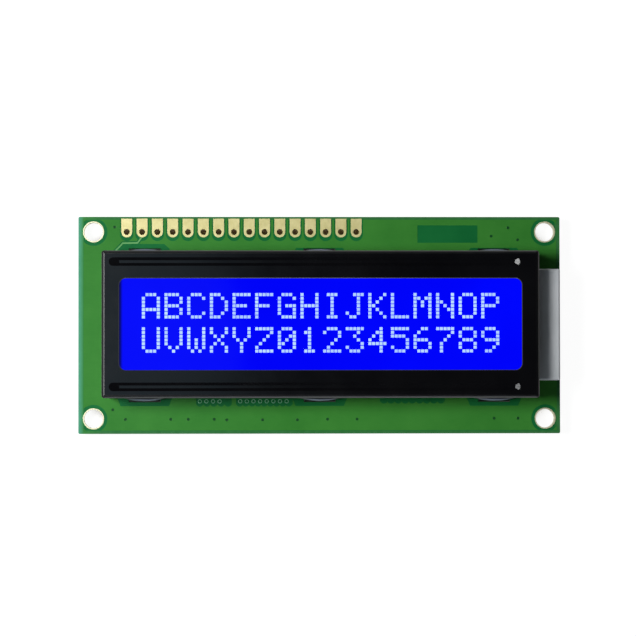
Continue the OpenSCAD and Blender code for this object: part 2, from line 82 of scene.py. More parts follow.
class Shade:
    """A Principled material with its noise, roughness and bump nodes."""

    def __init__(self, name, **constants):
        self.mat = bpy.data.materials.new(name)
        self.mat.use_nodes = True
        self.tree = self.mat.node_tree
        self.tree.nodes.clear()
        self.out = self.add("ShaderNodeOutputMaterial")
        self.shader = self.add("ShaderNodeBsdfPrincipled")
        self.link(self.shader.outputs[0], self.out.inputs["Surface"])
        self.coords = self.add("ShaderNodeTexCoord")
        for key, value in constants.items():
            self.shader.inputs[key.replace("_", " ")].default_value = value

    def add(self, kind, **settings):
        node = self.tree.nodes.new(kind)
        for key, value in settings.items():
            setattr(node, key, value)
        return node

    def link(self, a, b):
        self.tree.links.new(a, b)

    def math(self, operation, a, b=None, clamp=False):
        node = self.add("ShaderNodeMath", operation=operation, use_clamp=clamp)
        for socket, value in zip(node.inputs, (a, b)):
            if value is None:
                continue
            if isinstance(value, (int, float)):
                socket.default_value = value
            else:
                self.link(value, socket)
        return node.outputs[0]

    def noise(self, grain_mm, detail=3.0, stretch=(1, 1, 1)):
        """Noise whose features are about grain_mm across."""
        mapping = self.add("ShaderNodeMapping")
        mapping.inputs["Scale"].default_value = [s / (grain_mm * MM) for s in stretch]
        self.link(self.coords.outputs["Object"], mapping.inputs["Vector"])
        node = self.add("ShaderNodeTexNoise")
        node.inputs["Scale"].default_value = 1.0
        node.inputs["Detail"].default_value = detail
        node.inputs["Roughness"].default_value = 0.55
        self.link(mapping.outputs[0], node.inputs["Vector"])
        return node.outputs["Fac"]

    def ramp(self, factor, stops):
        """Colours that blend from stop to stop, each (place, colour)."""
        node = self.add("ShaderNodeValToRGB")
        elements = node.color_ramp.elements
        while len(elements) < len(stops):
            elements.new(0.5)
        for element, (place, colour) in zip(elements, stops):
            element.position = place
            element.color = colour
        self.link(factor, node.inputs["Fac"])
        return node.outputs["Color"]

    def spread(self, factor, low, high, start=0.3, end=0.7):
        """A number that runs from low to high as factor runs from start to end."""
        node = self.add("ShaderNodeMapRange")
        for key, value in zip(("From Min", "From Max", "To Min", "To Max"), (start, end, low, high)):
            node.inputs[key].default_value = value
        self.link(factor, node.inputs["Value"])
        return node.outputs["Result"]

    def mix(self, factor, a, b):
        """Colour a where factor is 0 and colour b where it is 1."""
        node = self.add("ShaderNodeMix", data_type="RGBA")
        for key, value in (("Factor", factor), ("A", a), ("B", b)):
            if isinstance(value, (int, float, tuple)):
                node.inputs[key].default_value = value
            else:
                self.link(value, node.inputs[key])
        return node.outputs["Result"]

    def colour(self, socket):
        self.link(socket, self.shader.inputs["Base Color"])
        return self

    def roughness(self, factor, low, high):
        self.link(self.spread(factor, low, high), self.shader.inputs["Roughness"])
        return self

    def bump(self, height, depth_mm):
        node = self.add("ShaderNodeBump")
        node.inputs["Strength"].default_value = 1.0
        node.inputs["Distance"].default_value = depth_mm * MM
        self.link(height, node.inputs["Height"])
        self.link(node.outputs["Normal"], self.shader.inputs["Normal"])
        return self

    def axis(self, letter):
        """The place along one axis, in millimetres."""
        node = self.add("ShaderNodeSeparateXYZ")
        self.link(self.coords.outputs["Object"], node.inputs[0])
        return self.math("MULTIPLY", node.outputs[letter], 1 / MM)

    def blend(self, factor, low, high):
        """Two colours that a noise wanders between."""
        return self.ramp(factor, [(0.3, low), (0.7, high)])


def grained(name, low, high, grain_mm, rough, bump_mm=0.0, fine_mm=None, **constants):
    """A surface whose colour wanders from low to high, with uneven gloss and a fine grain."""
    s = Shade(name, **constants)
    wander = s.noise(grain_mm)
    s.colour(s.blend(wander, low, high))
    fine = s.noise(fine_mm or grain_mm / 8, detail=4)
    s.roughness(fine, *rough)
    if bump_mm:
        s.bump(fine, bump_mm)
    return s.mat


def mask_gloss(s, grain_mm):
    """The even, nearly smooth gloss of solder mask."""
    fine = s.noise(grain_mm, detail=4)
    s.roughness(fine, 0.16, 0.22)
    s.bump(fine, 0.0005)
    return s.mat


BARE_ENDS = 1.0
BARE_SIDES = 0.65


def solder_mask():
    """Mask over bare laminate: dark green, with painted light along the left edge, paler where the lamp's
    light comes in through the routed edge.
    """
    s = Shade("solder_mask_over_laminate", Specular_IOR_Level=0.2)
    weave = s.noise(0.7, detail=2, stretch=(1, 0.35, 1))
    cloud = s.noise(9)
    inner = s.blend(cloud, tone(16, 92, 45), tone(24, 103, 51))
    # Painted light: the bare strip along the left edge, on the lamp's side, is coloured pale teal; the
    # other edges keep the plain green.
    glow = s.blend(weave, tone(70, 142, 112), tone(80, 152, 122))
    plain = s.blend(weave, tone(44, 102, 52), tone(52, 110, 60))
    from_left = s.math("ADD", s.axis("X"), HALF_L)
    pale = s.mix(s.spread(from_left, 1.0, 0.0, start=0.1, end=0.9), tone(54, 120, 56), glow)
    rim = s.mix(s.spread(from_left, 1.0, 0.0, start=1.0, end=4.0), plain, pale)
    past_ends = s.math("SUBTRACT", s.math("ABSOLUTE", s.axis("X")), HALF_L - BARE_ENDS)
    past_sides = s.math("SUBTRACT", s.math("ABSOLUTE", s.axis("Y")), HALF_W - BARE_SIDES)
    near = s.spread(s.math("MAXIMUM", past_ends, past_sides), 0.0, 1.0, start=0.0, end=0.3)
    wall = s.add("ShaderNodeSeparateXYZ")
    s.link(s.coords.outputs["Normal"], wall.inputs[0])
    upright = s.math("LESS_THAN", s.math("ABSOLUTE", wall.outputs["Z"]), 0.5)
    laminate = s.blend(weave, tone(120, 140, 84), tone(142, 158, 100))
    s.colour(s.mix(upright, s.mix(near, inner, rim), laminate))
    return mask_gloss(s, 0.25)


def mask_on_copper(name, low, high):
    """Mask over the copper plane: clearer green with the mottle of brushed copper beneath."""
    s = Shade(name, Specular_IOR_Level=0.2)
    cloud = s.noise(7)
    brushed = s.noise(0.35, detail=3, stretch=(0.25, 1, 1))
    both = s.math("ADD", s.math("MULTIPLY", cloud, 0.8), s.math("MULTIPLY", brushed, 0.2))
    s.colour(s.ramp(both, [(0.32, low), (0.68, high)]))
    return mask_gloss(s, 0.3)


def gold(name, low, high):
    """Gold plating, brushed along Y and clouded by handling."""
    s = Shade(name, Metallic=0.45, Specular_IOR_Level=0.5)
    cloud = s.noise(1.4, detail=5)
    scratch = s.noise(0.12, detail=2, stretch=(1, 0.12, 1))
    both = s.math("ADD", s.math("MULTIPLY", cloud, 0.75), s.math("MULTIPLY", scratch, 0.25))
    s.colour(s.ramp(both, [(0.34, low), (0.66, high)]))
    s.roughness(scratch, 0.38, 0.56)
    s.bump(scratch, 0.002)
    return s.mat


# Heights above the board over which the painted highlight on the tab shoulders fades in
SHOULDER_LOW, SHOULDER_HIGH = 1.1, 1.6


def black_paint():
    """Baked black paint on pressed sheet: glossy face, duller bends, and a painted highlight on the tab
    shoulders.
    """
    s = Shade("black_bezel_paint")
    cloud = s.noise(14)
    black = s.blend(cloud, tone(3, 3, 5), tone(8, 8, 10))
    peel = s.noise(0.16, detail=3)
    face = s.spread(s.noise(3.0, detail=5), 0.15, 0.19)
    past_ends = s.math("SUBTRACT", s.math("ABSOLUTE", s.axis("X")), BEZEL_HALF_L)
    past_sides = s.math("SUBTRACT", s.math("ABSOLUTE", s.axis("Y")), BEZEL_HALF_W)
    bend = s.spread(s.math("MAXIMUM", past_ends, past_sides), 0.0, 0.22, start=-0.6, end=-0.4)
    s.link(s.math("ADD", face, bend), s.shader.inputs["Roughness"])
    dull = s.spread(past_ends, 0.5, 0.24, start=-0.6, end=-0.4)
    s.link(dull, s.shader.inputs["Specular IOR Level"])
    # Painted highlight: the outward, upper part of each tab shoulder is coloured grey-blue where the lamps'
    # reflection falls.
    outward = s.spread(past_sides, 0.0, 1.0, start=0.05, end=0.3)
    upward = s.spread(s.axis("Z"), 0.0, 1.0, start=TOP + SHOULDER_LOW, end=TOP + SHOULDER_HIGH)
    s.colour(s.mix(s.math("MULTIPLY", outward, upward), black, tone(104, 114, 134)))
    s.bump(peel, 0.0004)
    return s.mat


def lit_blue():
    """Backlit film: an even blue, darkened by a painted shadow of the bezel just inside the window's left
    edge.
    """
    s = Shade("lit_blue_film", Roughness=0.08, Specular_IOR_Level=0.12, Emission_Strength=1.0)
    s.shader.inputs["Base Color"].default_value = tone(0, 0, 10)
    cloud = s.noise(16, detail=2)
    blue = s.blend(cloud, tone(0, 2, 246), tone(0, 6, 254))
    # Painted shadow: the glow falls to dark navy within about half a millimetre of the window's left edge.
    from_left = s.math("ADD", s.axis("X"), WINDOW_HALF_L)
    lit = s.spread(from_left, 0.08, 1.0, start=0.1, end=0.6)
    s.link(s.mix(lit, tone(0, 0, 20), blue), s.shader.inputs["Emission Color"])
    return s.mat


def lit_white():
    """Pale dots that let the backlight through."""
    s = Shade("lit_character_dots", Roughness=0.3, Emission_Strength=1.0)
    s.shader.inputs["Base Color"].default_value = tone(40, 60, 90)
    cloud = s.noise(5, detail=3)
    pale = s.blend(cloud, tone(158, 186, 252), tone(192, 224, 255))
    s.link(pale, s.shader.inputs["Emission Color"])
    return s.mat


def zebra_rubber():
    """Elastomer strip with thin carbon layers between pale ones."""
    layer_pitch, core_half = 0.2, 0.42
    s = Shade("zebra_elastomer", Specular_IOR_Level=0.3)
    layer = s.math("FRACT", s.math("MULTIPLY", s.axis("X"), 1 / layer_pitch))
    dark = s.math("LESS_THAN", layer, 0.45)
    from_middle = s.math("SUBTRACT", s.math("ABSOLUTE", s.axis("Y")), ZEBRA_Y)
    core = s.math("LESS_THAN", s.math("ABSOLUTE", from_middle), core_half)
    stripes = s.mix(dark, tone(196, 150, 150), tone(38, 36, 38))
    s.colour(s.mix(core, tone(214, 160, 158), stripes))
    fine = s.noise(0.2)
    s.roughness(fine, 0.55, 0.7)
    s.bump(fine, 0.004)
    return s.mat


def clear_plate(name, tint, rough):
    """Glass or acrylic with a faint tint."""
    s = Shade(name, Transmission_Weight=0.92, IOR=1.5)
    cloud = s.noise(12)
    s.colour(s.blend(cloud, tint, tone(250, 252, 252)))
    s.roughness(s.noise(1.5), *rough)
    return s.mat


def dress(node, material):
    """Gives a carried-over CAD node its finish."""
    for slot in NODES[node].material_slots:
        slot.material = material


PALE_GOLD = gold("plated_gold", tone(194, 185, 124), tone(210, 201, 145))
MASK_PLANE = mask_on_copper("mask_over_copper", tone(48, 114, 42), tone(57, 124, 48))
MASK_TRACE = mask_on_copper("mask_over_trace", tone(86, 146, 84), tone(104, 160, 98))
SILK = grained(
    "silkscreen_white", tone(214, 218, 210), tone(232, 235, 228), 0.8, (0.5, 0.65), 0.003,
)
EPOXY = grained(
    "black_epoxy", tone(9, 9, 10), tone(16, 16, 17), 6, (0.14, 0.3), 0.02, fine_mm=2.2,
    Coat_Weight=0.3, Coat_Roughness=0.12,
)
TINNED = grained(
    "tinned_metal", tone(176, 178, 176), tone(206, 208, 206), 0.6, (0.25, 0.45), 0.004, Metallic=0.9,
)
RUBBER = zebra_rubber()

dress("pcb", solder_mask())
for name in ("interface_pads", "zebra_contact_pads", "backlight_pads", "chip_pads"):
    dress(name, PALE_GOLD)
dress("mounting_hole_rings", gold("worn_ring_gold", tone(196, 192, 156), tone(214, 210, 178)))
dress("bezel", black_paint())
dress("front_polariser", lit_blue())
dress("front_glass", clear_plate("front_glass_plate", tone(226, 240, 240), (0.02, 0.06)))
dress("rear_glass", clear_plate("rear_glass_plate", tone(220, 238, 236), (0.02, 0.06)))
dress("cell_seal", grained(
    "seal_resin", tone(150, 140, 120), tone(176, 166, 142), 2, (0.4, 0.6), 0.004,
))
dress("fill_port_plug", grained(
    "port_resin", tone(206, 190, 140), tone(222, 208, 164), 0.6, (0.2, 0.4), 0.004,
))
dress("rear_polariser", grained("rear_film", tone(66, 72, 108), tone(82, 88, 128), 8, (0.25, 0.4)))
dress("zebra_strip_upper", RUBBER)
dress("zebra_strip_lower", RUBBER)
dress("backlight_frame", grained(
    "white_moulded_plastic", tone(184, 187, 189), tone(196, 198, 200), 5, (0.35, 0.5), 0.003,
    fine_mm=0.3, Specular_IOR_Level=0.3,
))
dress("light_guide", clear_plate("clear_acrylic", tone(232, 244, 250), (0.05, 0.14)))
dress("diffuser_film", grained(
    "diffuser_film", tone(222, 226, 230), tone(238, 240, 242), 3, (0.55, 0.7), 0.003,
))
dress("reflector_film", grained(
    "reflector_film", tone(206, 208, 210), tone(226, 228, 230), 6, (0.2, 0.32), 0.002, Metallic=0.6,
))
dress("led_board", grained(
    "white_source_board", tone(206, 208, 200), tone(222, 224, 216), 2, (0.4, 0.55), 0.004,
))
dress("backlight_leds", grained(
    "light_source_resin", tone(232, 208, 92), tone(246, 226, 128), 0.8, (0.3, 0.45), 0.004,
))
dress("backlight_pins", TINNED)
dress("chip_end_caps", TINNED)
dress("solder_joints", grained(
    "solder", tone(170, 172, 172), tone(204, 206, 206), 0.5, (0.16, 0.34), 0.012, Metallic=0.95,
))
dress("controller_cover", EPOXY)
dress("driver_cover", EPOXY)
dress("resistor_bodies", grained(
    "resistor_glaze", tone(20, 21, 24), tone(34, 36, 40), 0.8, (0.22, 0.4), 0.004,
))
dress("capacitor_bodies", grained(
    "capacitor_ceramic", tone(150, 116, 82), tone(172, 136, 98), 0.6, (0.45, 0.65), 0.006,
))

# ---------------------------------------------------------------- outlines


def circle(x, y, r, count=24):
    turns = [2 * math.pi * i / count for i in range(count)]
    return [(x + r * math.cos(a), y + r * math.sin(a)) for a in turns]


def rect(x0, y0, x1, y1):
    return [(x0, y0), (x1, y0), (x1, y1), (x0, y1)]


def wire(points, width):
    """Rectangles and round joints that cover a trace."""
    out = []
    for (ax, ay), (bx, by) in zip(points, points[1:]):
        length = math.hypot(bx - ax, by - ay)
        nx, ny = -(by - ay) / length * width / 2, (bx - ax) / length * width / 2
        out.append([(ax - nx, ay - ny), (bx - nx, by - ny), (bx + nx, by + ny), (ax + nx, ay + ny)])
    out.extend(circle(x, y, width / 2, 12) for x, y in points)
    return out


def layered(regions):
    """Lays outlines over each other, later ones on top: each is (outline, kept or cleared).
    Returns the points and triangles of what is kept in the end."""
    points, faces = [], []
    for outline, _ in regions:
        start = len(points)
        sides = zip(outline, outline[1:] + outline[:1])
        area = sum(ax * by - bx * ay for (ax, ay), (bx, by) in sides)
        points.extend(Vector(p) for p in (outline if area > 0 else outline[::-1]))
        faces.append(list(range(start, len(points))))
    spots, _, triangles, _, _, owners = delaunay_2d_cdt(points, [], faces, 1, 1e-5)
    left = [t for t, own in zip(triangles, owners) if own and regions[max(own)][1]]
    return [(p.x, p.y) for p in spots], left


def slab(name, regions, z0, z1, material):
    """A thin closed sheet from z0 to z1 with the shape that the layered outlines leave."""
    spots, triangles = layered(regions)
    used = sorted({i for t in triangles for i in t})
    place = {old: new for new, old in enumerate(used)}
    count = len(used)
    low, high = sorted((z0, z1))
    verts = [(spots[i][0] * MM, spots[i][1] * MM, low * MM) for i in used]
    verts += [(spots[i][0] * MM, spots[i][1] * MM, high * MM) for i in used]
    faces, edges = [], set()
    for t in triangles:
        a, b, c = (place[i] for i in t)
        (ax, ay, _), (bx, by, _), (cx, cy, _) = verts[a], verts[b], verts[c]
        if (bx - ax) * (cy - ay) < (by - ay) * (cx - ax):
            b, c = c, b
        faces.append((a + count, b + count, c + count))
        faces.append((c, b, a))
        edges.update(((a, b), (b, c), (c, a)))
    for a, b in edges:
        if (b, a) not in edges:
            faces.append((a + count, a, b, b + count))
    return piece(name, verts, faces, material)


def piece(name, verts, faces, material, smooth=False):
    """A new mesh that rides on the part's one body."""
    mesh = bpy.data.meshes.new(name)
    mesh.from_pydata(verts, [], faces)
    mesh.validate()
    mesh.materials.append(material)
    if smooth:
        mesh.polygons.foreach_set("use_smooth", [True] * len(mesh.polygons))
    obj = bpy.data.objects.new(name, mesh)
    bpy.context.scene.collection.objects.link(obj)
    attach(obj, "root")
    return obj


def rims(name, places, radius, thick, z, up, material, turns=20, sides=8):
    """Low rings of solder mask round vias, on the side that up gives: 1 front, -1 back."""
    flat = 0.6
    verts, faces = [], []
    for x, y in places:
        base = len(verts)
        for i in range(turns):
            a = 2 * math.pi * i / turns
            for j in range(sides):
                b = 2 * math.pi * j / sides
                r = radius + thick * math.cos(b)
                height = z + up * thick * flat * math.sin(b)
                verts.append(((x + r * math.cos(a)) * MM, (y + r * math.sin(a)) * MM, height * MM))
        for i in range(turns):
            for j in range(sides):
                here, ahead = base + i * sides, base + (i + 1) % turns * sides
                m = (j + 1) % sides
                quad = (here + j, ahead + j, ahead + m, here + m)
                faces.append(quad if up > 0 else quad[::-1])
    return piece(name, verts, faces, material, smooth=True)


# ---------------------------------------------------------------- circuit board, front

# Copper stops this far from the board's edges
MARGIN_LEFT, MARGIN_TOP, MARGIN_LOW, MARGIN_RIGHT = 0.85, 0.45, 0.55, 0.55
# Copper stands this far above the board and reaches this far into it
COPPER = 0.035
SUNK = 0.01
PAD_COUNT = 16
PAD_PITCH = 2.54
PAD_R = 0.9
PAD_X = PADS_LOW[0] + PAD_R
PAD_Y = HALF_W - 2.5
RING_R = 1.75
RING_CLEAR_R = 2.3
HOLE_X, HOLE_Y = RINGS_HIGH[0] - RING_R, RINGS_HIGH[1] - RING_R
HOLES = [(sx * HOLE_X, sy * HOLE_Y) for sx in (-1, 1) for sy in (-1, 1)]
TABS = (-29.0, 0.0, 29.0)

POUR = rect(-HALF_L + MARGIN_LEFT, -HALF_W + MARGIN_LOW, HALF_L - MARGIN_RIGHT, HALF_W - MARGIN_TOP)


def header_x(i):
    return PAD_X + i * PAD_PITCH


def pad_clearance(x, side, below):
    """Room round one header pad, open towards the board edge."""
    r = PAD_R + side
    low = PAD_Y + r - PAD_R - below
    steps = 14
    turns = [math.pi + math.pi * i / steps for i in range(steps + 1)]
    arc = [(x + r * math.cos(a), low + r * math.sin(a)) for a in turns]
    return [(x - r, HALF_W)] + arc + [(x + r, HALF_W)]


def scallops(x0, x1, y_in, y_out, pitch, radius):
    """A band below the bezel whose lower side is a row of round bites."""
    count = round((x1 - x0) / pitch)
    step = (x1 - x0 - 2 * radius) / (count - 1)
    bites = [circle(x0 + radius + i * step, y_out + radius, radius, 16) for i in range(count)]
    return [rect(x0, y_in, x1, y_out + radius * 0.55)] + bites


def tab_window(x, side, wide, narrow, reach):
    """Bare laminate at a tab's slot: it narrows from the bezel's wall outward to reach."""
    inner = side * (BEZEL_HALF_W - 1)
    wall, outer = side * BEZEL_HALF_W, side * reach
    return [
        (x - wide / 2, inner), (x + wide / 2, inner), (x + wide / 2, wall),
        (x + narrow / 2, outer), (x - narrow / 2, outer), (x - wide / 2, wall),
    ]


FRONT_VIAS = [
    (-32.2, -15.6), (-24.7, -15.6), (-21.8, -15.6), (-17.5, -15.6), (-15.4, -15.7), (-9.5, -15.7),
    (-3.7, -15.7), (1.3, -15.6), (6.2, -15.6), (-34.3, -14.0), (29.0, -15.5), (33.0, -15.5),
    (-34.0, 16.3), (28.6, 14.8), (31.4, 16.2), (33.0, 14.2),
]
FAN_A = [(-19.9 + 1.1 * i, -12.62) for i in range(4)]
FAN_B = [(-13.2 + 1.1 * i, -12.62) for i in range(8)]
FAN_C = [(10.7 + 1.27 * i, -12.3) for i in range(8)]
FRONT_TRACE = [(header_x(1), PAD_Y - 0.8), (-30.2, 13.68), (-32.65, 13.62), (-33.9, 12.3)]
LEFT_TAB_WINDOW = [(-33.2, 11.5), (-24.9, 11.5), (-24.9, 12.7), (-25.8, 13.5), (-32.5, 13.5), (-33.2, 12.8)]
MARKING_FIELD = rect(16.3, 13.7, 26.3, 16.6)


def cleared(outlines):
    return [(outline, False) for outline in outlines]


def kept(outlines):
    return [(outline, True) for outline in outlines]


def vias(places, radius, count):
    return [circle(x, y, radius, count) for x, y in places]


front = kept([POUR])
front += cleared(pad_clearance(header_x(i), side=0.22, below=0.62) for i in range(PAD_COUNT))
front += cleared(vias(HOLES, RING_CLEAR_R, 40))
front += cleared(tab_window(x, -1, wide=9.1, narrow=8.0, reach=13.4) for x in TABS)
front += cleared(tab_window(x, 1, wide=8.6, narrow=7.8, reach=12.85) for x in TABS[1:])
front += cleared([LEFT_TAB_WINDOW])
front += cleared(scallops(-20.5, -14.6, -11.5, -13.5, pitch=1.1, radius=0.62))
front += cleared(scallops(-13.9, -4.5, -11.5, -13.5, pitch=1.1, radius=0.62))
front += cleared(scallops(10.0, 20.8, -11.5, -13.05, pitch=1.27, radius=0.66))
front += cleared([MARKING_FIELD])
front += cleared(vias(FRONT_VIAS, 0.24, 14))
front += cleared(wire(FRONT_TRACE, 0.62))
slab("front_copper_plane", front, TOP - SUNK, TOP + COPPER, MASK_PLANE)
slab(
    "front_trace", kept(wire(FRONT_TRACE, 0.24)),
    TOP - SUNK, TOP + COPPER + 0.01, MASK_TRACE,
)
# Dark discs over the via holes: the tented mask's own darker green there, with the shade inside the holes
# painted in
VIA_HOLE_SHADE = grained(
    "via_hole_shade", tone(8, 58, 24), tone(14, 70, 30), 0.3, (0.4, 0.6), 0.003, Specular_IOR_Level=0.1,
)
slab(
    "front_via_hole_shade", kept(vias(FRONT_VIAS, 0.27, 14)),
    TOP - SUNK, TOP + COPPER * 0.4, VIA_HOLE_SHADE,
)
rims("front_via_rims", FRONT_VIAS, 0.26, 0.03, TOP + COPPER, 1, MASK_PLANE)
RIM_PALE = grained("via_rim_mask", tone(86, 150, 112), tone(112, 172, 132), 0.3, (0.3, 0.5), 0.003)
rims("fan_via_rims", FAN_A + FAN_B, 0.29, 0.06, TOP + 0.02, 1, RIM_PALE)

# ---------------------------------------------------------------- circuit board, back

COVER_R = 7.0
COVER_INNER_R = COVER_R - 0.4
COVER_X = (COVER_1[0][0] + COVER_1[1][0]) / 2, (COVER_2[0][0] + COVER_2[1][0]) / 2
PIN_PAD_R = 0.95
PIN_X, PIN_Y = PIN_PADS_LOW[0] + PIN_PAD_R, PIN_PADS_HIGH[1] - PIN_PAD_R
CHIP_X = [-11.2 + 3.2 * i for i in range(8)]
TRACE_W = 0.3
TRACE_ROOM_W = 0.72
VIA_R = 0.34
VIA_ROOM_R = 0.56
VIA_HOLE_R = 0.14


def cover_edge(x, degrees, r=COVER_INNER_R):
    return (x + r * math.cos(math.radians(degrees)), r * math.sin(math.radians(degrees)))


def elbow(start, end):
    """From start straight along Y, then at 45 degrees to end."""
    (ax, ay), (bx, by) = start, end
    turn = by - math.copysign(abs(ax - bx), by - ay)
    if abs(ax - bx) < 0.05:
        return [start, end]
    return [start, (ax, turn), end]


def cover_traces():
    """From header and fans to the two covers, and straight across between the covers."""
    left, right = COVER_X
    traces = []
    for k, i in enumerate(range(3, 8)):
        traces.append(elbow((header_x(i), PAD_Y - 0.7), cover_edge(left, 162 - 24 * k)))
    for fan, cover, first, step in (
        (FAN_A, left, -118, 11), (FAN_B, left, -66, 8.5), (FAN_C, right, -146, 16),
    ):
        for k, place in enumerate(fan):
            traces.append(elbow(place, cover_edge(cover, first + step * k)))
    for k in range(4):
        y = 0.7 + 0.9 * k
        reach = math.sqrt(COVER_INNER_R ** 2 - y * y)
        traces.append([(left + reach, y), (right - reach, y)])
    return traces


def via_traces():
    """Traces that each end in a via of their own, the via last."""
    traces = []
    for i in (*range(3), *range(8, PAD_COUNT)):
        traces.append([(header_x(i), PAD_Y - 0.7), (header_x(i), 13.75 if i % 2 else 13.35)])
    low, high = CHIPS_LOW[1], CHIPS_HIGH[1]
    for i, x in enumerate(CHIP_X):
        traces.append([(x, low + 0.2), (x, low - (0.9 if i % 2 else 1.5))])
        traces.append([(x, high - 0.2), (x, high + 0.15), (x + 0.6, high + 0.75), (x + 1.1, high + 0.75)])
    for k in range(12):
        degrees, far = 28 + 11 * k, COVER_R + (1.1 if k % 2 else 1.8)
        traces.append([cover_edge(COVER_X[1], degrees), cover_edge(COVER_X[1], degrees, far)])
    for s in (-1, 1):
        y = s * PIN_Y
        bend, end = PIN_X - 3.5, PIN_X - 5.2
        traces.append([(PIN_X - 0.8, y), (bend, y), (end, y + s * 1.7), (end, y + s * 2.6)])
    return traces


LONE_VIAS = [
    (-36.2, -8.0), (-36.2, 4.0), (-33.0, -14.6), (14.0, -15.8), (27.0, -15.8), (24.0, 5.5),
]
back_traces = cover_traces() + via_traces()
back_vias = FAN_A + FAN_B + FAN_C + [trace[-1] for trace in via_traces()] + LONE_VIAS

back = kept([POUR])
back += cleared(pad_clearance(header_x(i), side=0.22, below=0.45) for i in range(PAD_COUNT))
back += cleared(vias(HOLES, RING_CLEAR_R, 40))
back += cleared(rect(x - 3.2, s * 9.6, x + 3.2, s * 13.1) for x in TABS for s in (-1, 1))
back += cleared(circle(x, 0, COVER_R + 0.5, 56) for x in COVER_X)
back += cleared(circle(PIN_X, s * PIN_Y, 1.3) for s in (-1, 1))
back += cleared(rect(x - 0.95, CHIPS_LOW[1] - 0.25, x + 0.95, CHIPS_HIGH[1] + 0.25) for x in CHIP_X)
back += cleared(o for t in back_traces for o in wire(t, TRACE_ROOM_W))
back += cleared(vias(back_vias, VIA_ROOM_R, 16))
back += kept(o for t in back_traces for o in wire(t, TRACE_W))
back += kept(vias(back_vias, VIA_R, 16))
back += cleared(vias(back_vias, VIA_HOLE_R, 10))
slab("back_copper_plane", back, BACK - COPPER, BACK + SUNK, MASK_PLANE)
rims(
    "back_via_rims", back_vias, 0.2, 0.05, BACK - COPPER, -1, MASK_TRACE,
    turns=14, sides=6,
)
# Painted shade: dark discs in the back's via holes
slab(
    "back_via_hole_shade", kept(vias(back_vias, 0.16, 10)),
    BACK - COPPER * 0.5, BACK + SUNK, VIA_HOLE_SHADE,
)


def frame_line(x0, y0, x1, y1, width):
    """A rectangle drawn as a line of one width."""
    hole = rect(x0 + width, y0 + width, x1 - width, y1 - width)
    return [(rect(x0, y0, x1, y1), True), (hole, False)]


# White marks behind the board: a ring round each cover, a box round each chip, a box at pin 1
silk = []
for x in COVER_X:
    silk += [(circle(x, 0, COVER_R + 0.32, 72), True), (circle(x, 0, COVER_R + 0.14, 72), False)]
for x in CHIP_X:
    silk += frame_line(x - 1.05, CHIPS_LOW[1] - 0.22, x + 1.05, CHIPS_HIGH[1] + 0.22, 0.13)
silk += frame_line(PAD_X - 1.25, PAD_Y - 1.45, PAD_X + 1.25, PAD_Y + 2.4, 0.15)
slab("back_silk_marks", silk, BACK - COPPER - 0.012, BACK, SILK)

# ---------------------------------------------------------------- display

# Two lines of sixteen characters, five dots by seven: a plain run of letters and digits
LINE_1 = """
.###. ####. .###. ###.. ##### ##### .###. #...# .###. ..### #...# #.... #...# #...# .###. ####.
#...# #...# #...# #..#. #.... #.... #...# #...# ..#.. ...#. #..#. #.... ##.## #...# #...# #...#
#...# #...# #.... #...# #.... #.... #.... #...# ..#.. ...#. #.#.. #.... #.#.# ##..# #...# #...#
#...# ####. #.... #...# ####. ####. #.### ##### ..#.. ...#. ##... #.... #.#.# #.#.# #...# ####.
##### #...# #.... #...# #.... #.... #...# #...# ..#.. ...#. #.#.. #.... #...# #..## #...# #....
#...# #...# #...# #..#. #.... #.... #...# #...# ..#.. #..#. #..#. #.... #...# #...# #...# #....
#...# ####. .###. ###.. ##### #.... .#### #...# .###. .##.. #...# ##### #...# #...# .###. #....
"""
LINE_2 = """
#...# #...# #...# #...# #...# ##### .###. ..#.. .###. ##### ...#. ##### ..##. ##### .###. .###.
#...# #...# #...# #...# #...# ....# #...# .##.. #...# ...#. ..##. #.... .#... ....# #...# #...#
#...# #...# #...# .#.#. #...# ...#. #..## ..#.. ....# ..#.. .#.#. ####. #.... ...#. #...# #...#
#...# #...# #.#.# ..#.. .#.#. ..#.. #.#.# ..#.. ...#. ...#. #..#. ....# ####. ..#.. .###. .####
#...# #...# #.#.# .#.#. ..#.. .#... ##..# ..#.. ..#.. ....# ##### ....# #...# .#... #...# ....#
#...# .#.#. #.#.# #...# ..#.. #.... #...# ..#.. .#... #...# ...#. #...# #...# .#... #...# ...#.
.###. ..#.. .#.#. #...# ..#.. ##### .###. .###. ##### .###. ...#. .###. .###. .#... .###. .##..
"""
CHARACTERS = 16
CHAR_PITCH = 3.71
DOT_PITCH = 0.61
DOT_SIZE = 0.49
DOT_CHAMFER_W, DOT_CHAMFER_H = 0.02, 0.008
LINE_PITCH = 5.6
TEXT_Y = 0.22


def dot_places():
    """The middle of each lit dot. Row 3 and column 2 are the middle of a character."""
    for line, art in enumerate((LINE_1, LINE_2)):
        middle = TEXT_Y + LINE_PITCH * (0.5 - line)
        for row, text in enumerate(art.strip().split("\n")):
            for char, cell in enumerate(text.split(" ")):
                for column, mark in enumerate(cell):
                    if mark == "#":
                        x = (char - (CHARACTERS - 1) / 2) * CHAR_PITCH + (column - 2) * DOT_PITCH
                        yield x, middle + (3 - row) * DOT_PITCH


